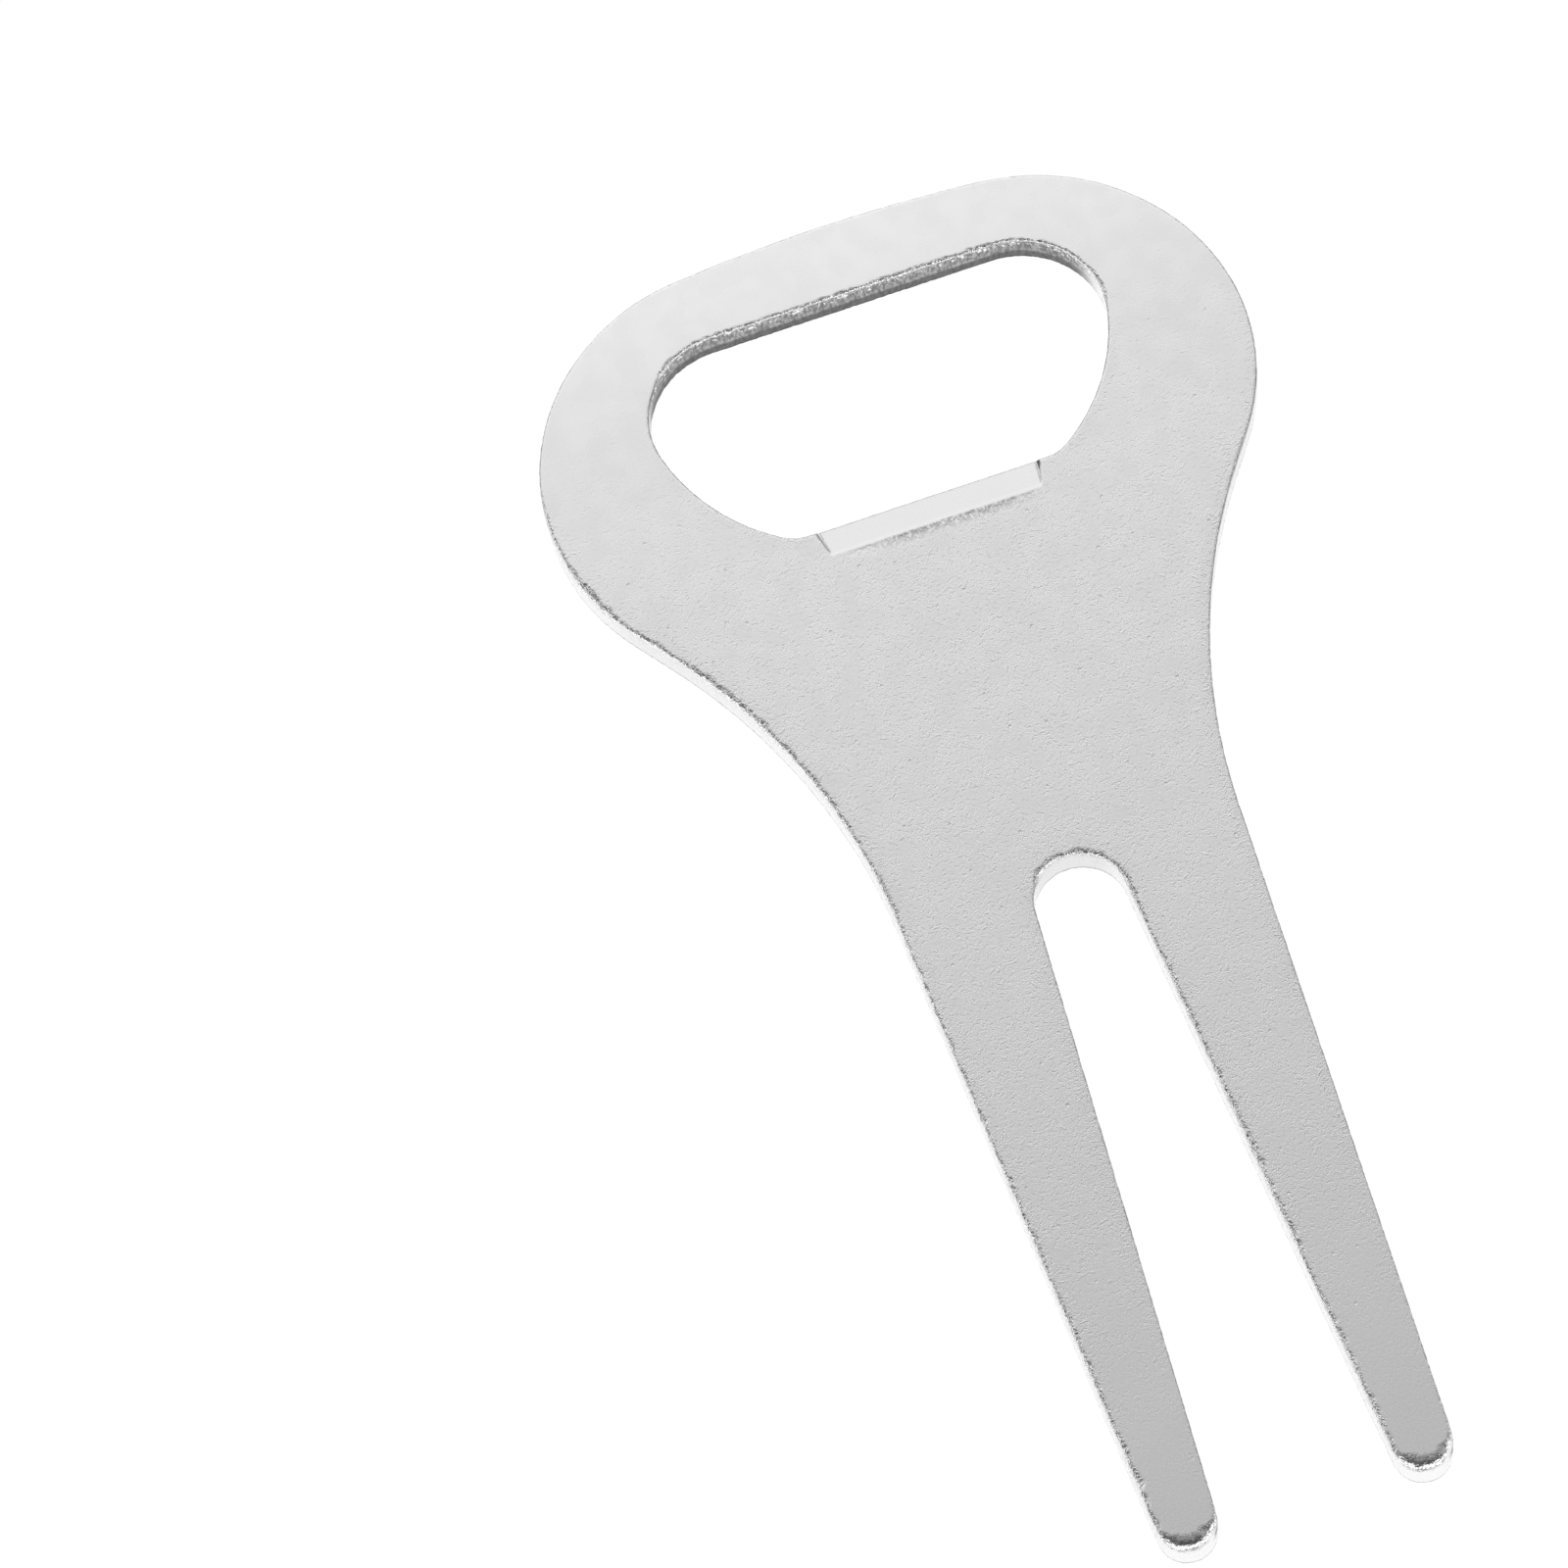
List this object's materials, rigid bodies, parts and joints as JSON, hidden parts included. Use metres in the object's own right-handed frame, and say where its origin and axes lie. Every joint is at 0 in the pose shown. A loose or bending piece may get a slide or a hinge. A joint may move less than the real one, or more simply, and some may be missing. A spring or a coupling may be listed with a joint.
{
  "type": "divot repair tool",
  "caption": "Flat stamped steel turf fork: round-tipped tines below a wide head, with a hanging opening whose pressed lip lifts bottle caps.",
  "frame": {"origin": "on the underside, halfway along the length and the width", "axes": "+X across the head, +Y from the tines to the head, +Z out of the face with the pressed lip"},
  "size_m": [0.0376, 0.075, 0.0018],
  "materials": {
    "plated_steel": "satin, tumbled and nickel plated, with bright worn edges"
  },
  "bodies": {
    "root": {"stamped_plate": "plated_steel"}
  },
  "joints": []
}
